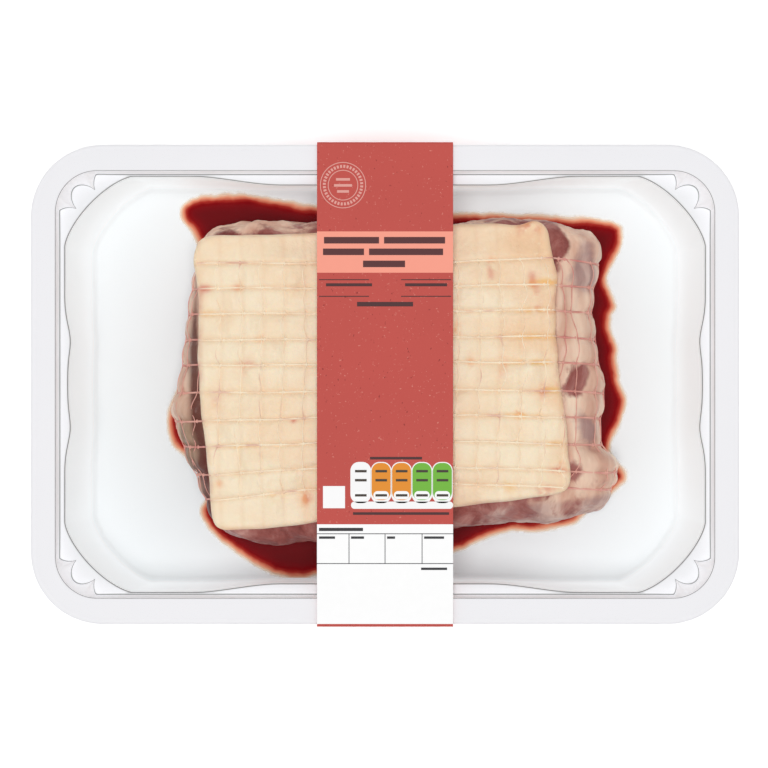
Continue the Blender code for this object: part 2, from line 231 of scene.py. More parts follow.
def mesh_points(mesh):
    flat = np.zeros(len(mesh.vertices) * 3)
    mesh.vertices.foreach_get("co", flat)
    return flat.reshape(-1, 3)


def mesh_normals(mesh):
    flat = np.zeros(len(mesh.vertices) * 3)
    mesh.vertex_normals.foreach_get("vector", flat)
    return flat.reshape(-1, 3)


def set_points(mesh, points):
    mesh.vertices.foreach_set("co", points.ravel())
    mesh.update()


# ---- material tools ---------------------------------------------------------------------
class Finish:
    """A Principled material with short ways to add procedural nodes."""

    def __init__(self, name, roughness, **inputs):
        self.material = bpy.data.materials.new(name)
        self.material.use_nodes = True
        self.nodes = self.material.node_tree.nodes
        self.links = self.material.node_tree.links
        self.shader = self.nodes["Principled BSDF"]
        self.set("Roughness", roughness)
        for key, value in inputs.items():
            self.set(key.replace("_", " ").title().replace("Ior", "IOR"), value)

    def set(self, socket, value):
        self.shader.inputs[socket].default_value = value

    def feed(self, socket, source):
        self.links.new(source, self.shader.inputs[socket])

    def place(self, stretch=(1, 1, 1)):
        """Object coordinates, multiplied by stretch."""
        coordinates = self.nodes.new("ShaderNodeTexCoord")
        mapping = self.nodes.new("ShaderNodeMapping")
        mapping.inputs["Scale"].default_value = stretch
        self.links.new(coordinates.outputs["Object"], mapping.inputs["Vector"])
        return mapping.outputs["Vector"]

    def noise(self, scale, detail=3.0, stretch=(1, 1, 1), roughness=0.55, distortion=0.0):
        node = self.nodes.new("ShaderNodeTexNoise")
        node.inputs["Scale"].default_value = scale
        node.inputs["Detail"].default_value = detail
        node.inputs["Roughness"].default_value = roughness
        node.inputs["Distortion"].default_value = distortion
        self.links.new(self.place(stretch), node.inputs["Vector"])
        return node.outputs["Fac"]

    def value(self, name):
        node = self.nodes.new("ShaderNodeAttribute")
        node.attribute_name = name
        return node.outputs["Fac"]

    def math(self, operation, *operands):
        node = self.nodes.new("ShaderNodeMath")
        node.operation = operation
        for socket, operand in zip(node.inputs, operands):
            if isinstance(operand, (int, float)):
                socket.default_value = operand
            else:
                self.links.new(operand, socket)
        return node.outputs[0]

    def spread(self, source, start, end, low=0.0, high=1.0):
        """source from start to end, smoothly mapped to low to high."""
        node = self.nodes.new("ShaderNodeMapRange")
        node.interpolation_type = "SMOOTHSTEP"
        limits = {"From Min": start, "From Max": end, "To Min": low, "To Max": high}
        for key, number in limits.items():
            node.inputs[key].default_value = number
        self.links.new(source, node.inputs["Value"])
        return node.outputs["Result"]

    def colours(self, source, stops):
        node = self.nodes.new("ShaderNodeValToRGB")
        elements = node.color_ramp.elements
        while len(elements) < len(stops):
            elements.new(0.5)
        for element, (position, colour) in zip(elements, stops):
            element.position = position
            element.color = (*colour, 1.0) if len(colour) == 3 else colour
        self.links.new(source, node.inputs["Fac"])
        return node.outputs["Color"]

    def mix(self, share, first, second):
        node = self.nodes.new("ShaderNodeMix")
        node.data_type = "RGBA"  # its two colours are sockets 6 and 7, its result is output 2
        self.links.new(share, node.inputs["Factor"])
        for key, colour in ((6, first), (7, second)):
            if isinstance(colour, tuple):
                node.inputs[key].default_value = (*colour, 1.0)
            else:
                self.links.new(colour, node.inputs[key])
        return node.outputs[2]

    def bump(self, source, height, strength=1.0):
        node = self.nodes.new("ShaderNodeBump")
        node.inputs["Distance"].default_value = height
        node.inputs["Strength"].default_value = strength
        self.links.new(source, node.inputs["Height"])
        self.links.new(node.outputs["Normal"], self.shader.inputs["Normal"])


# ---- finishes ---------------------------------------------------------------------------
def tray_plastic(name, with_painted_light):
    finish = Finish(name, 0.40, specular_ior_level=0.03)
    cloud = finish.noise(14.0, 2.0)
    base = finish.mix(cloud, srgb(241, 241, 244), srgb(244, 243, 246))
    if with_painted_light:
        # painted shade: a darker white for the well and its ledge than for the rim
        well = finish.mix(cloud, srgb(226, 230, 231), srgb(229, 232, 234))
        base = finish.mix(finish.value("well"), base, well)
    # painted shade: thin grey lines along the tray's bends and rolled edge
    line = finish.spread(finish.value("crease_shade"), 0.15, 0.95)
    plastic = finish.mix(line, base, srgb(142, 144, 143))
    finish.feed("Base Color", plastic)
    if with_painted_light:
        # painted light: the inside glows, most on its walls, which brightens them
        finish.feed("Emission Color", plastic)
        glow = finish.spread(finish.value("wall_glow"), 0.0, 1.0, *TRAY_PAINTED_GLOW)
        finish.feed("Emission Strength", glow)
    return finish.material


def fat_finish():
    finish = Finish("cream_beef_fat", 0.50, specular_ior_level=0.20)
    finish.set("Subsurface Weight", 0.12)
    finish.set("Subsurface Radius", (1.0, 0.55, 0.30))
    finish.set("Subsurface Scale", 3.0 * MM)
    broad = finish.spread(finish.noise(38.0, 4.0, distortion=0.4), 0.36, 0.68)
    cream = finish.mix(broad, srgb(248, 230, 201), srgb(246, 220, 187))
    warm = finish.spread(finish.value("warm"), 0.0, 1.0)
    cream = finish.mix(warm, cream, srgb(242, 205, 167))
    fine = finish.spread(finish.noise(420.0, 3.0), 0.55, 0.78, 0.0, 0.35)
    cream = finish.mix(fine, cream, srgb(250, 233, 208))
    # painted shade: a darker, browner cream in the grooves that the net presses
    groove_shade = finish.spread(finish.value("groove"), 0.0, 1.0, 0.0, 0.24)
    cream = finish.mix(groove_shade, cream, srgb(226, 180, 140))
    breakup = finish.spread(finish.noise(150.0, 3.0), 0.34, 0.56)
    blood = finish.math("MULTIPLY", finish.value("stain"), breakup)
    ruddy = finish.spread(finish.noise(45.0, 2.0), 0.42, 0.58)
    blush = finish.mix(ruddy, srgb(235, 160, 100), srgb(216, 122, 104))
    cream = finish.mix(blood, cream, blush)
    cream = finish.mix(finish.math("MULTIPLY", finish.value("amber"), breakup), cream, srgb(240, 186, 112))
    finish.feed("Base Color", cream)
    finish.bump(finish.noise(520.0, 4.0), 0.35 * MM)
    return finish.material


def lean_finish():
    finish = Finish("raw_lean_beef", 0.36, specular_ior_level=0.14)
    finish.set("Subsurface Weight", 0.08)
    finish.set("Subsurface Radius", (1.0, 0.25, 0.18))
    finish.set("Subsurface Scale", 2.0 * MM)
    fibre = finish.noise(60.0, 5.0, (1.0, 0.30, 1.2), 0.62, 0.8)
    lean = finish.colours(fibre, (
        (0.34, srgb(116, 56, 52)), (0.48, srgb(146, 84, 78)), (0.60, srgb(168, 114, 106)),
        (0.72, srgb(190, 146, 136)),
    ))
    streaks = finish.noise(70.0, 4.0, (1.5, 0.25, 1.5), 0.5, 0.4)
    skin = finish.colours(streaks, (
        (0.30, srgb(202, 156, 136)), (0.46, srgb(216, 178, 156)), (0.58, srgb(226, 194, 172)),
        (0.74, srgb(240, 216, 192)),
    ))
    patchy = finish.noise(70.0, 4.0, (1.0, 0.7, 1.0), 0.6, 0.6)
    cover = finish.math("ADD", finish.value("skin"), finish.spread(patchy, 0.3, 0.7, -0.22, 0.22))
    meat = finish.mix(finish.spread(cover, 0.28, 0.62), lean, skin)
    khaki = finish.mix(finish.spread(streaks, 0.35, 0.65), srgb(128, 100, 78), srgb(186, 158, 134))
    meat = finish.mix(finish.value("khaki"), meat, khaki)
    silver = finish.mix(finish.spread(streaks, 0.35, 0.65), srgb(158, 124, 120), srgb(196, 166, 156))
    share = finish.math("ADD", finish.value("silver"), finish.spread(patchy, 0.3, 0.7, -0.18, 0.18))
    meat = finish.mix(finish.spread(share, 0.22, 0.62, 0.0, 0.9), meat, silver)
    # painted shade in crevices and towards the bottom
    meat = finish.mix(finish.value("deep_shade"), meat, srgb(84, 30, 26))
    finish.feed("Base Color", meat)
    finish.feed("Roughness", finish.spread(patchy, 0.35, 0.65, 0.28, 0.46))
    finish.bump(finish.noise(230.0, 5.0, (1.3, 0.4, 1.3)), 0.5 * MM)
    return finish.material


def string_finish():
    finish = Finish("butchery_string", 0.55, specular_ior_level=0.3)
    tint = finish.spread(finish.noise(110.0, 3.0), 0.46, 0.66, 0.0, 0.55)
    clean = finish.mix(tint, srgb(253, 236, 208), srgb(240, 202, 166))
    wet = finish.mix(finish.noise(160.0, 3.0), srgb(238, 186, 172), srgb(188, 80, 82))
    finish.feed("Base Color", finish.mix(finish.value("stained"), clean, wet))
    finish.bump(finish.noise(1500.0, 2.0), 0.2 * MM)
    return finish.material


def juice_finish():
    finish = Finish("meat_juices", 0.30, specular_ior_level=0.008)
    wander = finish.spread(finish.noise(90.0, 3.0), 0.3, 0.7, -0.05, 0.05)
    inset = finish.math("ADD", finish.value("inset"), wander)
    colour = finish.colours(inset, (
        (0.00, srgb(252, 240, 220)), (0.18, srgb(246, 216, 184)), (0.32, srgb(214, 134, 104)),
        (0.45, srgb(158, 44, 36)), (0.58, srgb(120, 8, 14)), (0.78, srgb(108, 4, 12)),
        (1.00, srgb(98, 6, 12)),
    ))
    finish.feed("Base Color", colour)
    finish.feed("Alpha", finish.spread(inset, 0.04, 0.34))
    return finish.material


def film_finish():
    finish = Finish("clear_lid_film", 0.12, specular_ior_level=0.1)
    haze = finish.noise(9.0, 2.0)
    finish.feed("Base Color", finish.mix(haze, srgb(110, 112, 114), srgb(130, 131, 133)))
    finish.set("Alpha", 0.006)
    return finish.material


def card_finish(name, colour, fleck_light, fleck_dark):
    """Uncoated card: an even ink with fine light and dark flecks."""
    finish = Finish(name, 0.62, specular_ior_level=0.2)
    cloud = finish.spread(finish.noise(26.0, 3.0), 0.3, 0.7, 0.0, 0.35)
    ink = finish.mix(cloud, srgb(*colour), srgb(*[value * 0.955 for value in colour]))
    light = finish.spread(finish.noise(900.0, 2.0), 0.66, 0.74)
    dark = finish.spread(finish.noise(620.0, 2.0, (1.4, 0.8, 1.0)), 0.68, 0.76)
    ink = finish.mix(light, ink, srgb(*fleck_light))
    finish.feed("Base Color", finish.mix(dark, ink, srgb(*fleck_dark)))
    finish.bump(finish.noise(1400.0, 2.0), 0.03 * MM)
    return finish.material


def ink_finish(name, colour):
    finish = Finish(name, 0.5, specular_ior_level=0.2)
    cloud = finish.noise(300.0, 2.0)
    finish.feed("Base Color", finish.mix(cloud, srgb(*colour), srgb(*[v * 0.985 for v in colour])))
    return finish.material


# ---- tray -------------------------------------------------------------------------------
CORNER_CENTRE = (WELL_HALF[0] - WELL_CORNER[0], WELL_HALF[1] - WELL_CORNER[1])
SIDE_STEPS = 30
END_STEPS = 36
CORNER_STEPS = 72
SHELF_LEAN = 1.3 * MM


def ray_to_rounded_corner(direction, half, radius):
    """Distance from the well's corner centre to a rounded rectangle, along direction."""
    across = [half[k] - CORNER_CENTRE[k] for k in (0, 1)]
    for k in (0, 1):
        if direction[k] > 1e-9:
            reach = across[k] / direction[k]
            if direction[1 - k] * reach <= across[1 - k] - radius:
                return reach
    middle = [across[k] - radius for k in (0, 1)]
    dot = direction[0] * middle[0] + direction[1] * middle[1]
    return dot + math.sqrt(dot**2 - middle[0] ** 2 - middle[1] ** 2 + radius**2)


def well_corner_radius(direction):
    power = WELL_CORNER_POWER
    total = sum((direction[k] / WELL_CORNER[k]) ** power for k in (0, 1))
    return total ** (-1.0 / power)


def lobed_radius(degrees, mouth):
    from_cusp = min(abs(degrees - cusp) for cusp in LOBE_CUSP_DEG)
    lobe_half = (LOBE_CUSP_DEG[1] - LOBE_CUSP_DEG[0]) / 2
    rise = math.sin(math.pi / 2 * min(1.0, from_cusp / lobe_half)) ** 0.7
    return min(mouth - SHELF_LEAN, LOBE_CUSP_RADIUS + LOBE_HEIGHT * rise)


def short_side_inset(y):
    rib = math.exp(-(((abs(y) - 21 * MM) / (9 * MM)) ** 2))
    return 1.4 * MM * (1 - float(ramp(abs(y), 20 * MM, 42 * MM))) + 1.3 * MM * rib


def long_side_inset(x):
    return 4.2 * MM * (1 - float(ramp(abs(x), 50 * MM, 94 * MM)))


def quarter(kind, grow, rib_share):
    """One quarter of an outline, from the middle of the right side to that of the back."""
    half = {"rim": RIM_HALF, "mouth": MOUTH_HALF, "shelf": MOUTH_HALF, "well": WELL_HALF}[kind]
    lean = SHELF_LEAN if kind == "shelf" else 0.0
    points = []
    for step in range(SIDE_STEPS):
        y = CORNER_CENTRE[1] * step / SIDE_STEPS
        inset = short_side_inset(y) * rib_share if kind == "well" else lean
        points.append((half[0] - inset + grow, y))
    for step in range(CORNER_STEPS + 1):
        degrees = 90.0 * step / CORNER_STEPS
        direction = (math.cos(math.radians(degrees)), math.sin(math.radians(degrees)))
        if kind == "rim":
            reach = ray_to_rounded_corner(direction, RIM_HALF, RIM_CORNER)
        elif kind == "well":
            reach = well_corner_radius(direction)
        else:
            reach = ray_to_rounded_corner(direction, MOUTH_HALF, MOUTH_CORNER)
            if kind == "shelf":
                reach = lobed_radius(degrees, reach)
        points.append(tuple(CORNER_CENTRE[k] + direction[k] * (reach + grow) for k in (0, 1)))
    for step in range(1, END_STEPS + 1):
        x = CORNER_CENTRE[0] * (1 - step / END_STEPS)
        inset = long_side_inset(x) * rib_share if kind == "well" else lean
        points.append((x, half[1] - inset + grow))
    return points


def outline(kind, grow, z, rib_share=1.0, draft=(0.0, 0.0)):
    scale = [1 - draft[k] / WELL_HALF[k] for k in (0, 1)]
    first = [(x * scale[0], y * scale[1]) for x, y in quarter(kind, grow, rib_share)]
    upper = first + [(-x, y) for x, y in reversed(first[:-1])]
    lower = [(-x, -y) for x, y in upper[1:-1]]
    return [(x, y, z) for x, y in upper + lower]


def build_tray():
    edge = 1.5 * MM
    loops, crease_shades, wall_glows = [], [], []

    # Each loop also carries the painted shade of its crease line and the painted glow that lights it.
    def add(loop, crease_shade=0.0, wall_glow=0.0):
        loops.append(loop)
        crease_shades.append(crease_shade)
        wall_glows.append(wall_glow)

    add(outline("rim", 0.0, RIM_Z - 4.5 * MM))
    add(outline("rim", 0.0, RIM_Z - edge), 0.10)
    for step in range(1, 6):
        angle = math.radians(90 * step / 5)
        grow, drop = edge * (math.cos(angle) - 1), edge * (1 - math.sin(angle))
        add(outline("rim", grow, RIM_Z - drop), 0.10 - 0.02 * step)
    add(outline("mouth", 1.6 * MM, RIM_Z))
    add(outline("mouth", 0.7 * MM, RIM_Z))
    add(outline("mouth", 0.3 * MM, RIM_Z - 0.05 * MM), 0.3)
    add(outline("mouth", 0.0, RIM_Z - 0.3 * MM), 0.85)
    add(outline("mouth", -0.1 * MM, RIM_Z - 0.9 * MM), 0.2, 0.5)
    add(outline("shelf", 0.75 * MM, LEDGE_Z + 2.4 * MM), 0.0, 0.5)
    add(outline("shelf", 0.2 * MM, LEDGE_Z + 0.6 * MM), 0.35, 0.5)
    add(outline("shelf", 0.0, LEDGE_Z + 0.1 * MM), 1.0)
    add(outline("shelf", -0.35 * MM, LEDGE_Z), 0.40)
    add(outline("shelf", -0.8 * MM, LEDGE_Z), 0.0)
    add(outline("well", 0.55 * MM, LEDGE_Z - 0.1 * MM), 0.0)
    add(outline("well", 0.10 * MM, LEDGE_Z - 0.2 * MM), 0.45)
    add(outline("well", -0.15 * MM, LEDGE_Z - 0.6 * MM), 0.95)
    add(outline("well", -0.35 * MM, LEDGE_Z - 1.3 * MM), 0.30, 0.6)
    add(outline("well", -0.60 * MM, LEDGE_Z - 3.0 * MM, 0.97), 0.0, 0.9)
    top, bottom = LEDGE_Z - 3.0 * MM, FLOOR_Z + FLOOR_RADIUS
    for step in range(1, 8):
        share = step / 8
        draft = tuple(value * share for value in WALL_DRAFT)
        z = top + (bottom - top) * share
        add(outline("well", -0.6 * MM * (1 - share), z, 0.97 - 0.67 * share, draft), 0.0, 1.0)
    for step in range(7):
        angle = math.radians(90 * step / 6)
        grow = -FLOOR_RADIUS * (1 - math.cos(angle))
        z = FLOOR_Z + FLOOR_RADIUS * (1 - math.sin(angle))
        add(outline("well", grow, z, 0.3, WALL_DRAFT), 0.0, 1.0 - step / 6)
    count = len(loops[0])
    faces = []
    for k in range(len(loops) - 1):
        for j in range(count):
            after = (j + 1) % count
            faces.append((k * count + j, k * count + after, (k + 1) * count + after, (k + 1) * count + j))
    faces.append(tuple((len(loops) - 1) * count + j for j in range(count)))
    mesh = make_mesh("tray_shell", [point for loop in loops for point in loop], faces)
    add_values(mesh, "crease_shade", np.repeat(crease_shades, count))
    add_values(mesh, "wall_glow", np.repeat(wall_glows, count))
    # painted shade: the darker white fades in just above the ledge and fills everything below it
    depths = LEDGE_Z - mesh_points(mesh)[:, 2]
    add_values(mesh, "well", ramp(depths, -1.5 * MM, 3 * MM))
    inside = tray_plastic("white_tray_inside", True)
    piece = add_piece("tray_shell", mesh, inside, ["tray"])
    mesh.materials.append(tray_plastic("white_tray_outside", False))
    shell = piece.modifiers.new("sheet", "SOLIDIFY")
    shell.material_offset = 1
    shell.material_offset_rim = 1
    shell.thickness = WALL
    shell.offset = -1.0
    return piece


# ---- joint ------------------------------------------------------------------------------
def dome(points):
    x, y = points[:, 0], points[:, 1]
    return DOME_TOP - DOME_DROP * ((x / DOME_HALF[0]) ** 2 + (y / DOME_HALF[1]) ** 2) / 2


def four_sided(a, b, left, right, front, back):
    """Places in a plan with four curved sides, from a and b between -1 and 1."""
    across, over = (a + 1) / 2, (b + 1) / 2
    low, high = np.mean([k[1] for k in front]), np.mean([k[1] for k in back])
    rough_y = (low + (high - low) * over) * MM
    x = along(left, rough_y) * (1 - across) + along(right, rough_y) * across
    y = along(front, x) * (1 - over) + along(back, x) * over
    return x, y


def hoop_y(hoop, x):
    return np.interp(x / MM, HOOP_KNOTS_X, hoop) * MM


def strand_drift(y):
    return 0.9 * MM * np.sin(y / (19 * MM))


def net_grooves(points, width):
    """How deep each point lies in the grooves that hoops and strands press, from 0 to 1."""
    x, y = points[:, 0], points[:, 1]
    hoops = np.zeros(len(points))
    for hoop in HOOPS:
        hoops = np.maximum(hoops, np.exp(-(((y - hoop_y(hoop, x)) / width) ** 2)))
    turns = (x - STRAND_FIRST - strand_drift(y)) / STRAND_PITCH
    strands = np.exp(-(((turns - np.round(turns)) * STRAND_PITCH / width) ** 2))
    return hoops, strands


def edge_spaced(count, bend, bend_steps):
    """Numbers from -1 to 1, close together where the edge bends over."""
    flat = np.linspace(0, 1 - bend, count)
    turned = 1 - bend + bend * np.sin(np.linspace(0, math.pi / 2, bend_steps + 1)[1:])
    half = np.concatenate([flat, turned])
    return np.concatenate([-half[:0:-1], half])


def grid_faces(rows, columns, keep=None):
    faces = []
    for i in range(rows - 1):
        for j in range(columns - 1):
            first = i * columns + j
            if keep is None or keep[first]:
                faces.append((first, first + 1, first + columns + 1, first + columns))
    return faces


def smear_at(points, smear):
    """How strongly a smear (place, half sizes, strength; in millimetres) colours each point."""
    x, y, half_x, half_y, strength = smear
    away = ((points[:, 0] / MM - x) / half_x) ** 2 + ((points[:, 1] / MM - y) / half_y) ** 2
    return strength * np.exp(-away)


def resting_height(points, under):
    """The height of the piece under each point, eased so that a slab can lie on it."""
    tree = surface_tree([under])
    level = dome(points)
    for k, (x, y, _) in enumerate(points):
        hit, _, _, _ = tree.ray_cast(Vector((x, y, 0.2)), Vector((0, 0, -1)))
        drop = level[k] - hit.z if hit is not None else FAT_DROOP
        level[k] -= FAT_DROOP * math.tanh(max(-1 * MM, drop) / FAT_DROOP)
    return level


def build_fat(under):
    bend = 0.032
    p, q = edge_spaced(118, bend, 7), edge_spaced(100, bend, 7)
    grid_p, grid_q = (grid.ravel() for grid in np.meshgrid(p, q))
    reach = np.maximum(np.abs(grid_p), np.abs(grid_q))
    power = 24.0
    scale = reach / np.maximum(1e-9, (np.abs(grid_p) ** power + np.abs(grid_q) ** power) ** (1 / power))
    a, b = grid_p * scale, grid_q * scale
    x, y = four_sided(a, b, FAT_LEFT, FAT_RIGHT, FAT_FRONT, FAT_BACK)
    height = np.sqrt(np.clip(1 - (np.clip(reach - (1 - bend), 0, None) / bend) ** 2, 0, 1))
    flat = np.stack([x, y, np.zeros_like(x)], 1)
    wobble = np.stack([waves(flat, 16 * MM, 3), waves(flat, 16 * MM, 4)], 1) * 0.25 * MM
    flat[:, :2] += (reach ** 8)[:, None] * wobble
    base = resting_height(flat, under) + 0.3 * MM
    hoops, strands = net_grooves(flat, 1.5 * MM)
    groove = np.maximum(hoops, 0.55 * strands)
    lumps = 0.34 * waves(flat, 30 * MM, 5) + 0.18 * waves(flat, 9 * MM, 6)
    lumps += 0.07 * waves(flat, 3.2 * MM, 7)
    relief = (lumps - 0.80 * hoops - 0.30 * strands + 0.22) * MM
    sink = 0.2 * MM * ramp(reach, 0.85, 1.0)
    top, low = flat.copy(), flat.copy()
    top[:, 2] = base + FAT_THICKNESS * (1 + height) / 2 + relief * height - sink
    low[:, 2] = base + FAT_THICKNESS * (1 - height) / 2 - sink
    rows, columns = len(q), len(p)
    faces = grid_faces(rows, columns)
    near_edge = reach > 1 - 2.5 * bend
    for face in grid_faces(rows, columns, near_edge):
        faces.append(tuple(index + len(top) for index in reversed(face)))
    mesh = make_mesh("fat_slab", np.concatenate([top, low]), faces)
    stain = np.zeros(len(flat))
    for smear in PINK_SMEARS:
        stain += smear_at(flat, smear)
    amber = sum(smear_at(flat, smear) for smear in AMBER_SMEARS)
    rim_stain = 0.30 * ramp(reach, 0.955, 1.0) * (0.6 + 0.6 * waves(flat, 14 * MM, 9))
    stain = np.clip(stain * (0.60 + 0.9 * groove) + rim_stain, 0, 0.85)
    warm = ramp(x, 20 * MM, 95 * MM) * ramp(y, -70 * MM, 70 * MM)
    warm = np.clip(warm + 0.25 * waves(flat, 22 * MM, 8), 0, 1)
    add_values(mesh, "groove", np.concatenate([groove, groove]))
    add_values(mesh, "stain", np.concatenate([stain, np.clip(stain + 0.25, 0, 1)]))
    add_values(mesh, "warm", np.concatenate([warm, warm]))
    add_values(mesh, "amber", np.clip(np.concatenate([amber, amber]), 0, 0.8))
    return add_piece("fat_slab", mesh, fat_finish(), ["fat_cover"])


def square_ring(count):
    """Points round the edge of the square from -1 to 1, anticlockwise."""
    place = np.linspace(0, 4, count, endpoint=False)
    side, step = place.astype(int), place % 1 * 2 - 1
    a = np.choose(side, [np.ones(count), -step, -np.ones(count), step])
    b = np.choose(side, [step, np.ones(count), -step, -np.ones(count)])
    return a, b


def lean_zones(points, height):
    """How much pale skin and khaki membrane shows at each point, and painted shade in crevices and low
    down.
    """
    x, y = points[:, 0] / MM, points[:, 1] / MM
    right = ramp(x, 78, 88)
    left = 1 - ramp(x, -92, -84)
    back = ramp(y, 72, 77) * (1 - 0.75 * right)
    front = 1 - ramp(y, -68 + 0.10 * x, -60 + 0.10 * x)
    skin = 0.30 + 0.62 * np.maximum(right, 0.72 * left)
    skin = skin * (1 - back) + back * (0.42 + 0.20 * np.sin(x / 14) + 0.15 * ramp(x, 20, 60))
    skin = skin * (1 - front) + front * (0.06 + 0.52 * ramp(x, 20, 105))

    def patch(centre_x, centre_y, half_x, half_y):
        return np.exp(-(((x - centre_x) / half_x) ** 2) - ((y - centre_y) / half_y) ** 2)

    skin -= 1.2 * patch(83, 68, 6, 8) + 0.40 * patch(104, -48, 11, 9)
    skin -= 1.2 * patch(93 + (y - 2) / 3, 2, 6, 10) + 0.9 * patch(92, -42, 5, 5)
    skin += 0.70 * patch(-88, 74, 6, 3) + 0.35 * patch(98, 73, 8, 3)
    khaki = np.clip(1.3 * patch(-97, -31, 9, 15) + 0.45 * patch(-90, -52, 7, 10), 0, 0.92)
    beside_fat = np.exp(-(((x - along(FAT_LEFT, points[:, 1]) / MM + 2.8) / 3.0) ** 2))
    # painted shade: darker beside the fat's left edge, along the left side and towards the joint's bottom
    deep_shade = 0.95 * beside_fat * ramp(-y, -45, -10) + 0.55 * (1 - ramp(height, -0.85, -0.45))
    deep_shade += 1.0 * patch(-92, -14, 2.2, 13) + 0.7 * patch(-92, -42, 3, 6) + 0.6 * patch(-92.5, 30, 1.3, 24)
    silver = 0.85 * patch(97, 55, 9, 15) + 0.55 * patch(99, -22, 9, 12) + 0.45 * front * ramp(x, 30, 60)
    silver = np.clip(silver - 0.9 * patch(83, 68, 7, 8), 0, 0.8)
    return np.clip(skin, 0, 1), khaki, silver, np.clip(deep_shade, 0, 0.9)


def build_lean():
    around, sides = 640, 64
    a, b = square_ring(around)
    rings = [(m, 1.0) for m in np.linspace(0.55, 0.98, 26)]
    rings += [(1.0, c) for c in np.linspace(1.0, -1.0, sides)]
    rings += [(m, -1.0) for m in np.linspace(0.96, 0.3, 8)]
    cube = np.concatenate([np.stack([a * m, b * m, np.full(around, c)], 1) for m, c in rings])
    reach = np.abs(cube[:, :2]).max(1)
    plan = (np.abs(cube[:, :2]) ** LEAN_PLAN_ROUNDNESS).sum(1) ** (1 / LEAN_PLAN_ROUNDNESS)
    size = (reach ** LEAN_ROUNDNESS + np.abs(cube[:, 2]) ** LEAN_ROUNDNESS) ** (-1 / LEAN_ROUNDNESS)
    ball = cube * np.stack([reach / plan * size, reach / plan * size, size], 1)
    height = ball[:, 2]
    width = 1 - 0.050 * np.maximum(0, height + 0.25) ** 2 - 0.030 * np.minimum(0, height + 0.25) ** 2
    x, y = four_sided(ball[:, 0] * width, ball[:, 1] * width, LEAN_LEFT, LEAN_RIGHT, LEAN_FRONT, LEAN_BACK)
    flat = np.stack([x, y, np.zeros_like(x)], 1)
    z = LEAN_BASE + (dome(flat) - LEAN_BASE) * (height + 1) / 2
    points = np.stack([x, y, z], 1)
    count = len(rings)
    faces = []
    for k in range(count - 1):
        for j in range(around):
            after = (j + 1) % around
            first, second = k * around, (k + 1) * around
            faces.append((first + j, second + j, second + after, first + after))
    faces.append(tuple(range(around)))
    faces.append(tuple(reversed(range((count - 1) * around, count * around))))
    mesh = make_mesh("lean_joint", points, faces)
    normals = mesh_normals(mesh)
    hoops, _ = net_grooves(points, 2.4 * MM)
    sideways = np.abs(normals[:, 0])
    ends = ramp(np.abs(normals[:, 1]), 0.4, 0.9)
    relief = 1.0 * waves(points, 34 * MM, 11) + 0.45 * waves(points, 12 * MM, 12)
    relief += 0.16 * waves(points * (1.0, 0.35, 1.0), 3.2 * MM, 13)
    relief -= (1.5 * hoops - 0.5) * ramp(sideways, 0.1, 0.6)
    folds = 0.5 * np.sin(x / (5.5 * MM) + 1.4 * waves(points, 30 * MM, 14)) * ends
    points = points + normals * ((relief + folds - 0.6) * MM)[:, None]
    points[:, 2] = np.maximum(points[:, 2], LEAN_BASE)
    cap = dome(points) + 0.3 * MM
    over = ramp(height, 0.90, 0.985)
    points[:, 2] = np.where(points[:, 2] > cap, cap * over + points[:, 2] * (1 - over), points[:, 2])
    set_points(mesh, points)
    skin, khaki, silver, deep_shade = lean_zones(points, height)
    add_values(mesh, "skin", skin)
    add_values(mesh, "khaki", khaki)
    add_values(mesh, "silver", silver)
    add_values(mesh, "deep_shade", deep_shade)
    return add_piece("lean_joint", mesh, lean_finish(), ["lean_beef"])


# ---- net --------------------------------------------------------------------------------
HEART = Vector((-1.0 * MM, 0.0, 33.0 * MM))


def surface_tree(pieces):
    points, faces = [], []
    for piece in pieces:
        start = len(points)
        points += [vertex.co.copy() for vertex in piece.data.vertices]
        faces += [tuple(start + k for k in face.vertices) for face in piece.data.polygons]
    return BVHTree.FromPolygons(points, faces)


def hoop_place(tree, hoop, angle, lift):
    """Where the hoop lies on the joint in that direction, lifted off its surface."""
    direction = Vector((math.cos(angle), 0.0, math.sin(angle)))
    y = float(hoop_y(hoop, np.float64(0.0)))
    for _ in range(3):
        start = Vector((HEART.x, y, HEART.z)) + direction * 0.2
        hit, normal, _, _ = tree.ray_cast(start, -direction)
        if hit is None:
            return None
        y = float(hoop_y(hoop, np.float64(hit.x)))
    return hit + direction * lift


def tube(points, radius, closed, sides=6):
    """Vertices and faces of a tube along points, with rounds square to its path."""
    points = np.asarray(points)
    if closed:
        ahead, behind = np.roll(points, -1, 0), np.roll(points, 1, 0)
    else:
        ahead = np.concatenate([points[1:], points[-1:]])
        behind = np.concatenate([points[:1], points[:-1]])
    tangent = ahead - behind
    tangent /= np.maximum(1e-12, np.linalg.norm(tangent, axis=1))[:, None]
    inward = np.array(HEART) - points
    inward -= tangent * (inward * tangent).sum(1)[:, None]
    inward /= np.maximum(1e-12, np.linalg.norm(inward, axis=1))[:, None]
    other = np.cross(tangent, inward)
    turns = np.linspace(0, 2 * math.pi, sides, endpoint=False)
    rounds = [inward * math.cos(t) * radius + other * math.sin(t) * radius + points for t in turns]
    verts = np.stack(rounds, 1).reshape(-1, 3)
    count, faces = len(points), []
    for k in range(count if closed else count - 1):
        for j in range(sides):
            first, after = k * sides, (k + 1) % count * sides
            faces.append((first + j, first + (j + 1) % sides, after + (j + 1) % sides, after + j))
    if not closed:
        faces.append(tuple(reversed(range(sides))))
        faces.append(tuple(range((count - 1) * sides, count * sides)))
    return verts, faces


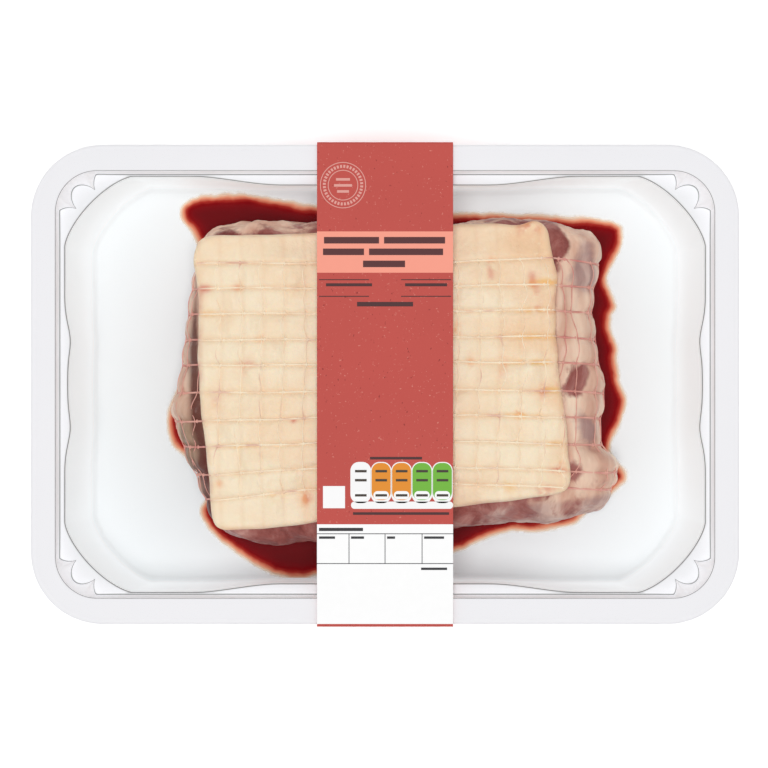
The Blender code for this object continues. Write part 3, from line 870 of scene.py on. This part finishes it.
def strand_routes():
    """Where each strand runs: (axis, value on it, which side of the joint)."""
    across = [STRAND_FIRST + STRAND_PITCH * k for k in range(-1, STRAND_COUNT)]
    routes = [(0, x, side) for x in across for side in (1, -1)]
    return routes + [(2, z * MM, side) for z in SIDE_STRANDS_Z for side in (1, -1)]


def line_place(line, axis, value, side):
    """The point of a hoop's line nearest to value on axis, on the given side."""
    other = 2 - axis
    wanted = value + (strand_drift(line[:, 1]) if axis == 0 else 0.0)
    away = np.abs(line[:, axis] - wanted)
    away[(line[:, other] - HEART[other]) * side < 0] = 1.0
    return Vector(line[int(away.argmin())])


def smooth_line(points, closed, rounds):
    points = np.array([tuple(point) for point in points])
    for _ in range(rounds):
        if closed:
            points = (np.roll(points, 1, 0) + 2 * points + np.roll(points, -1, 0)) / 4
        else:
            points[1:-1] = (points[:-2] + 2 * points[1:-1] + points[2:]) / 4
    return points


def join_tubes(name, tubes):
    verts, faces, start = [], [], 0
    for tube_verts, tube_faces in tubes:
        verts.append(tube_verts)
        faces += [tuple(start + k for k in face) for face in tube_faces]
        start += len(tube_verts)
    mesh = make_mesh(name, np.concatenate(verts), faces)
    points = mesh_points(mesh)
    x, y = points[:, 0], points[:, 1]
    off_right = ramp(x, along(FAT_RIGHT, y) - 3 * MM, along(FAT_RIGHT, y) + 3 * MM)
    off_left = ramp(-x, -along(FAT_LEFT, y) - 3 * MM, -along(FAT_LEFT, y) + 3 * MM)
    below = 1 - ramp(points[:, 2], DOME_TOP - 8 * MM, DOME_TOP)
    spots = np.clip(0.6 * waves(points, 13 * MM, 21) - 0.35, 0, 0.5)
    off_fat = np.maximum.reduce([off_right, off_left, below])
    add_values(mesh, "stained", np.clip(off_fat * 0.85 + spots, 0, 1))
    return mesh


def build_net(held):
    tree = surface_tree(held)
    finish = string_finish()
    angles = np.linspace(0, 2 * math.pi, 420, endpoint=False)
    hoops, lines = [], []
    for number, hoop in enumerate(HOOPS):
        places = [hoop_place(tree, hoop, angle, 0.30 * MM) for angle in angles]
        line = smooth_line([place for place in places if place is not None], True, 3)
        wander = 0.22 * MM * np.sin(np.arange(len(line)) * 0.21 + number)
        line[:, 1] += wander
        lines.append(line)
        hoops.append(tube(line, STRING_RADIUS, True))
    tubes, knots = list(hoops), []
    for axis, value, side in strand_routes():
        stops = [line_place(line, axis, value, side) for line in lines]
        path = []
        for first, second in zip(stops, stops[1:]):
            for step in range(6):
                guess = first.lerp(second, step / 6)
                outward = (guess - Vector((HEART.x, guess.y, HEART.z))).normalized()
                hit, _, _, _ = tree.ray_cast(guess + outward * 0.02, -outward)
                path.append((hit if hit is not None else guess) + outward * 0.28 * MM)
        path.append(stops[-1])
        tubes.append(tube(smooth_line(path, False, 2), STRAND_RADIUS, False, 5))
        for stop in stops:
            spread = [stop + Vector((0, s * MM, 0)) for s in (-0.9, -0.45, 0.45, 0.9)]
            rounds, knot_faces = tube(spread, 0.62 * MM, False, 6)
            pinch = np.repeat([0.45, 1.0, 1.0, 0.45], 6)[:, None]
            middle = np.repeat(np.array([tuple(point) for point in spread]), 6, 0)
            knots.append((middle + (rounds - middle) * pinch, knot_faces))
    mesh = join_tubes("net_strings", tubes + knots)
    return add_piece("net_strings", mesh, finish, ["net"])


# ---- juices -----------------------------------------------------------------------------
def closed_curve(knots, per_knot):
    """A smooth closed line through the knots."""
    knots = np.array(knots, float) * MM
    before, after, later = np.roll(knots, 1, 0), np.roll(knots, -1, 0), np.roll(knots, -2, 0)
    points = []
    for t in np.linspace(0, 1, per_knot, endpoint=False):
        points.append(0.5 * (
            2 * knots + (after - before) * t + (2 * before - 5 * knots + 4 * after - later) * t**2
            + (3 * knots - before - 3 * after + later) * t**3
        ))
    return np.stack(points, 1).reshape(-1, 2)


def floor_rise(points):
    """How far the tray's bottom bend has risen at each point, near the long walls."""
    flat_half = WELL_HALF[1] - 1.26 * MM - WALL_DRAFT[1] - FLOOR_RADIUS
    past = np.clip(np.abs(points[:, 1]) - flat_half, 0, FLOOR_RADIUS * 0.9)
    return FLOOR_RADIUS - np.sqrt(FLOOR_RADIUS**2 - past**2)


def inside_line(places, line):
    """How far each place lies inside the closed line, less than 0 outside it."""
    nearest, inside = np.full(len(places), np.inf), np.zeros(len(places), bool)
    for start, end in zip(line, np.roll(line, -1, 0)):
        edge, away = end - start, places - start
        share = np.clip(away @ edge / (edge @ edge), 0, 1)
        nearest = np.minimum(nearest, ((away - share[:, None] * edge) ** 2).sum(1))
        passes = (away[:, 1] < 0) != (places[:, 1] < end[1])
        inside ^= passes & (away[:, 0] < away[:, 1] * edge[0] / (edge[1] or 1.0))
    return np.sqrt(nearest) * np.where(inside, 1, -1)


def build_juices():
    shore = closed_curve(SHORE, 8)
    ripple = waves(np.column_stack([shore, np.zeros(len(shore))]), 6 * MM, 31) * 0.14 * MM
    shore += ripple[:, None] * (shore - shore.mean(0)) / np.linalg.norm(shore, axis=1)[:, None]
    low, high = shore.min(0) - JUICE_HALO, shore.max(0) + JUICE_HALO
    columns, rows = [int((high[k] - low[k]) / JUICE_STEP) + 2 for k in (0, 1)]
    grid = np.meshgrid(np.linspace(low[0], high[0], columns), np.linspace(low[1], high[1], rows))
    points = np.stack([grid[0].ravel(), grid[1].ravel(), np.zeros(rows * columns)], 1)
    inset = inside_line(points[:, :2], shore)
    depth = JUICE_DEPTH * ramp(inset, -0.5 * MM, 4 * MM)
    points[:, 2] = FLOOR_Z + 0.12 * MM + floor_rise(points) + depth
    keep = (inset > -JUICE_HALO) & (inset < JUICE_REACH) & (np.abs(points[:, 1]) < JUICE_LIMIT_Y)
    mesh = make_mesh("juice_pool", points, grid_faces(rows, columns, keep))
    add_values(mesh, "inset", np.clip((inset + JUICE_HALO) / (11.0 * MM), 0, 1))
    return add_piece("juice_pool", mesh, juice_finish(), ["juices"])


# ---- lid film ---------------------------------------------------------------------------
def build_film():
    loop = outline("rim", -2.4 * MM, 0.0)
    shares = (1.0, 0.99, 0.95, 0.8, 0.6, 0.4, 0.2, 0.05)
    points = []
    for share in shares:
        points += [(x * share, y * share, FILM_Z) for x, y, _ in loop]
    count = len(loop)
    faces = []
    for k in range(len(shares) - 1):
        for j in range(count):
            after = (j + 1) % count
            faces.append((k * count + j, k * count + after, (k + 1) * count + after, (k + 1) * count + j))
    faces.append(tuple((len(shares) - 1) * count + j for j in range(count)))
    mesh = make_mesh("lid_sheet", points, faces)
    return add_piece("lid_sheet", mesh, film_finish(), ["lid_film"])


# ---- sleeve and its print ---------------------------------------------------------------
INK_LIFT = 0.06 * MM
PRINT_LEFT = SLEEVE_LOW.x
PRINT_TOP = SLEEVE_HIGH.y - 0.4 * MM


def on_sleeve(u, v):
    """A place on the sleeve's face, u units from its left edge and v units from its back edge."""
    width, length = SLEEVE_HIGH.x - SLEEVE_LOW.x, SLEEVE_HIGH.y - SLEEVE_LOW.y - 0.8 * MM
    return PRINT_LEFT + width * u / 136, PRINT_TOP - length * v / 480


def box_shape(u0, v0, u1, v1, corner=0.0):
    """The outline of a rectangle in print units, with rounded corners."""
    if corner <= 0:
        return [(u0, v0), (u0, v1), (u1, v1), (u1, v0)]
    points = []
    left, right, back, front = u0 + corner, u1 - corner, v0 + corner, v1 - corner
    turns = ((right, back, -90), (right, front, 0), (left, front, 90), (left, back, 180))
    for centre_u, centre_v, start in turns:
        for step in range(9):
            angle = math.radians(start + 90 * step / 8)
            points.append((centre_u + corner * math.cos(angle), centre_v + corner * math.sin(angle)))
    return list(reversed(points))


def ring_shapes(u, v, outer, inner, first=0.0, last=360.0, steps=72):
    """A ring or part of one, as four-sided shapes."""
    shapes = []
    for k in range(steps):
        angles = [math.radians(first + (last - first) * s / steps) for s in (k, k + 1)]
        shapes.append([
            (u + outer * math.cos(angles[0]), v + outer * math.sin(angles[0])),
            (u + outer * math.cos(angles[1]), v + outer * math.sin(angles[1])),
            (u + inner * math.cos(angles[1]), v + inner * math.sin(angles[1])),
            (u + inner * math.cos(angles[0]), v + inner * math.sin(angles[0])),
        ])
    return shapes


def print_field(name, colour, shapes, level):
    """One ink: its shapes lie just over the card, level steps up."""
    points, faces = [], []
    for shape in shapes:
        start = len(points)
        places = [on_sleeve(u, v) for u, v in shape]
        area = sum(p[0] * q[1] - q[0] * p[1] for p, q in zip(places, places[1:] + places[:1]))
        if area < 0:
            places.reverse()
        points += [(x, y, SLEEVE_HIGH.z + INK_LIFT * level) for x, y in places]
        faces.append(tuple(range(start, start + len(places))))
    mesh = make_mesh(name, points, faces)
    return add_piece(name, mesh, ink_finish(name + "_ink", colour))


def build_sleeve():
    card = card_finish("red_card", (196, 82, 74), (216, 128, 116), (148, 54, 50))
    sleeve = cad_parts["sleeve"]
    sleeve.data.materials.clear()
    sleeve.data.materials.append(card)
    print_field("title_band", (250, 158, 136), [box_shape(0, 88, 136, 129)], 1)
    stamp = ring_shapes(26, 42, 23.0, 22.2) + ring_shapes(26, 42, 15.2, 14.4)
    for k in range(36):
        stamp += ring_shapes(26, 42, 20.2, 17.2, 10 * k + 1, 10 * k + 7, 2)
    print_field("round_stamp", (226, 160, 150), stamp, 1)
    bars = [box_shape(19, 35, 33, 37.5), box_shape(17, 41, 35, 43.5), box_shape(20, 47, 32, 49.5)]
    print_field("stamp_bars", (226, 160, 150), bars, 1)
    rules = [box_shape(u, v, u + 50, v + 0.9) for u in (2, 84) for v in (135.5, 152)]
    print_field("thin_rules", (66, 30, 30), rules, 1)
    print_field("square_panel", (252, 252, 252), [box_shape(6, 341, 28, 363)], 1)
    shifts = [20.4 * k for k in range(5)]
    lozenges = [box_shape(34.2 + shift, 318, 53.2 + shift, 355, 8.0) for shift in shifts]
    backs = [box_shape(33.4 + shift, 317, 54 + shift, 358, 8.6) for shift in shifts]
    print_field("lozenge_white", (250, 250, 250), backs, 1)
    print_field("lozenge_orange", (230, 142, 24), lozenges[1:3], 2)
    print_field("lozenge_green", (112, 182, 52), lozenges[3:], 2)
    pills = [box_shape(36 + shift, 346.0, 51.4 + shift, 354.2, 4.0) for shift in shifts]
    print_field("lozenge_pills", (253, 253, 253), pills, 3)
    facts = [(38 + shift, v) for shift in shifts for v in (325, 334, 349)]
    shapes = [box_shape(u, v, u + 11.6, v + 2.4) for u, v in facts]
    print_field("lozenge_bars", (60, 50, 40), shapes, 4)
    print_field("wide_pill", (250, 250, 250), [box_shape(34, 356.4, 136, 363.6, 3.5)], 1)
    print_field("white_panel", (255, 255, 255), [box_shape(0, 379, 136, 478)], 1)
    words = ((7, 93.5, 62), (67, 93.5, 128), (6, 105, 47), (52, 105, 126), (46, 117, 88))
    title = [box_shape(start, v, end, v + 6.5) for start, v, end in words]
    print_field("title_bars", (84, 34, 36), title, 2)
    small = ((9, 139.5, 46, 3), (88, 139.5, 42, 3), (40, 158, 56, 4.5))
    small += ((53, 312, 52, 2.6), (36, 367, 96, 2.6))
    print_field("caption_bars", (70, 30, 32), [box_shape(u, v, u + w, v + h) for u, v, w, h in small], 1)
    labels = ((2, 382.5, 44, 3.2), (2, 391, 16, 2.4), (34, 391, 13, 2.4), (70, 391, 8, 2.4))
    labels += ((107, 391, 20, 2.4), (104, 422, 26, 2.4))
    print_field("label_bars", (44, 44, 48), [box_shape(u, v, u + w, v + h) for u, v, w, h in labels], 2)
    lines = [box_shape(0, 388, 136, 388.8), box_shape(0, 417.6, 136, 418.4)]
    lines += [box_shape(u, 388, u + 0.8, 418.4) for u in (31.6, 67.6, 104.6)]
    print_field("panel_rules", (70, 70, 74), lines, 2)


# ---- stage ------------------------------------------------------------------------------
def build_stage():
    corners = [(a * STAGE_HALF, b * STAGE_HALF, 0) for a, b in ((-1, -1), (1, -1), (1, 1), (-1, 1))]
    mesh = make_mesh("floor", corners, [(0, 1, 2, 3)])
    floor = bpy.data.objects.new("floor", mesh)
    bpy.context.scene.collection.objects.link(floor)
    finish = Finish("white_floor", 0.9, specular_ior_level=0.0)
    white = finish.mix(finish.noise(2.0), (0.985, 0.985, 0.985), (0.99, 0.99, 0.99))
    finish.feed("Base Color", white)
    finish.feed("Emission Color", white)
    finish.set("Emission Strength", 0.18)
    mesh.materials.append(finish.material)
    world = bpy.data.worlds.new("studio")
    world.use_nodes = True
    bpy.context.scene.world = world
    sky = world.node_tree.nodes["Background"]
    sky.inputs["Color"].default_value = (1, 1, 1, 1)
    path = world.node_tree.nodes.new("ShaderNodeLightPath")
    seen = world.node_tree.nodes.new("ShaderNodeMapRange")
    seen.inputs["To Min"].default_value = WORLD_LIGHT
    world.node_tree.links.new(path.outputs["Is Camera Ray"], seen.inputs["Value"])
    world.node_tree.links.new(seen.outputs["Result"], sky.inputs["Strength"])
    key = bpy.data.lights.new("key", "SUN")
    key.energy = KEY_LIGHT * math.pi
    key.angle = math.radians(KEY_SPREAD_DEG)
    lamp = bpy.data.objects.new("key", key)
    lamp.rotation_euler = [math.radians(turn) for turn in KEY_TILT_DEG]
    bpy.context.scene.collection.objects.link(lamp)


def build_camera():
    camera = bpy.data.cameras.new("camera")
    camera.lens = camera.sensor_width * CAMERA_HEIGHT / VIEW_WIDTH
    holder = bpy.data.objects.new("camera", camera)
    holder.location = (*VIEW_CENTRE, RIM_Z + CAMERA_HEIGHT)
    bpy.context.scene.collection.objects.link(holder)
    bpy.context.scene.camera = holder
    bpy.context.scene.view_settings.view_transform = "Standard"


build_tray()
lean_piece = build_lean()
fat_piece = build_fat(lean_piece)
build_net([lean_piece, fat_piece])
build_juices()
build_film()
build_sleeve()
build_stage()
build_camera()
